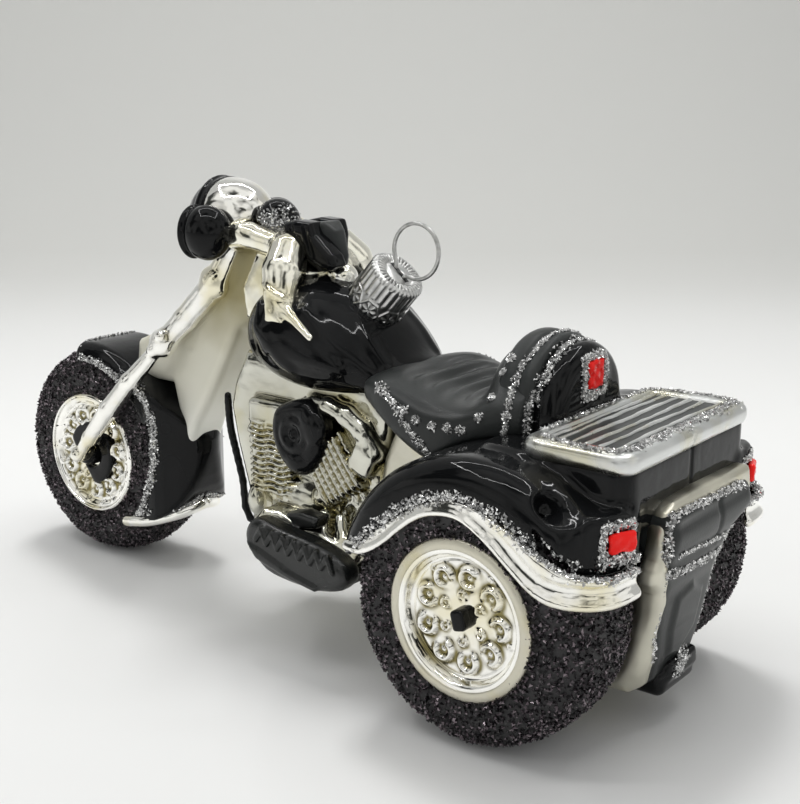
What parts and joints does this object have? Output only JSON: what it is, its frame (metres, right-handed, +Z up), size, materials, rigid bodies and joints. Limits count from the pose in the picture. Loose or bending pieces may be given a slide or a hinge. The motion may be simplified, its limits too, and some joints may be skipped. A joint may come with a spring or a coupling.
{
  "type": "hanging ornament of a motorized trike",
  "caption": "Blown-glass hanging ornament shaped as a motorized trike with ribbed trunk lid, glitter tyres and a lift-off stamped cap with a sprung wire ring.",
  "frame": {"origin": "centre of the bounding box in plan, on the surface that the tyres stand on", "axes": "+X is forward, towards the front wheel; +Y is the trike's left; +Z is up"},
  "size_m": [0.143, 0.0556, 0.0735],
  "materials": {
    "glitter_tyre": "coarse black glitter over glass",
    "silvered_glass": "mirrored from inside, slightly warm",
    "frosted_glass": "frosted, pale pearl",
    "black_lacquer": "glossy black lacquer on glass",
    "satin_black": "satin black lacquer on glass",
    "red_lacquer": "glossy red lacquer",
    "clear_glass": "fire-cut glass",
    "stamped_cap": "satin stamped",
    "spring_wire": "drawn wire"
  },
  "bodies": {
    "glass": {"air_cleaner": "black_lacquer", "backrest": "satin_black", "backrest_lamp": "red_lacquer", "backrest_shell": "black_lacquer", "brake_disc_left": "black_lacquer", "brake_disc_right": "black_lacquer", "cylinder_front": "silvered_glass", "cylinder_rear": "silvered_glass", "dash_cowl": "black_lacquer", "engine_case": "silvered_glass", "fender_lip_left": "silvered_glass", "fender_lip_right": "silvered_glass", "filler_cap": "silvered_glass", "floorboard_left": "satin_black", "floorboard_right": "satin_black", "fork_left": "silvered_glass", "fork_right": "silvered_glass", "fork_web": "frosted_glass", "frame_tube_left": "black_lacquer", "frame_tube_right": "black_lacquer", "front_fender": "black_lacquer", "front_tyre": "glitter_tyre", "front_wheel": "silvered_glass", "fuel_tank": "black_lacquer", "grip_left": "black_lacquer", "grip_right": "black_lacquer", "handlebar": "silvered_glass", "headlight_bezel": "black_lacquer", "headlight_lens": "silvered_glass", "headlight_shell": "silvered_glass", "horn_cover": "black_lacquer", "instrument_pod": "black_lacquer", "lamp_left": "black_lacquer", "lamp_right": "black_lacquer", "neck": "clear_glass", "rear_body": "silvered_glass", "rear_fender_left": "black_lacquer", "rear_fender_right": "black_lacquer", "rear_foot": "black_lacquer", "rear_hub_left": "black_lacquer", "rear_hub_right": "black_lacquer", "rear_panel": "satin_black", "rear_tyre_left": "glitter_tyre", "rear_tyre_right": "glitter_tyre", "rear_wheel_left": "silvered_glass", "rear_wheel_right": "silvered_glass", "seat": "satin_black", "tail_lamp_left": "red_lacquer", "tail_lamp_right": "red_lacquer", "trunk": "black_lacquer", "trunk_lid": "silvered_glass"},
    "cap": {"cap": "stamped_cap", "hanger": "spring_wire"}
  },
  "joints": [
    {"name": "cap_lift", "type": "slide", "parent": "glass", "child": "cap", "axis": [-0.6769, 0, 0.7361], "range_m": [0, 0.03]}
  ]
}
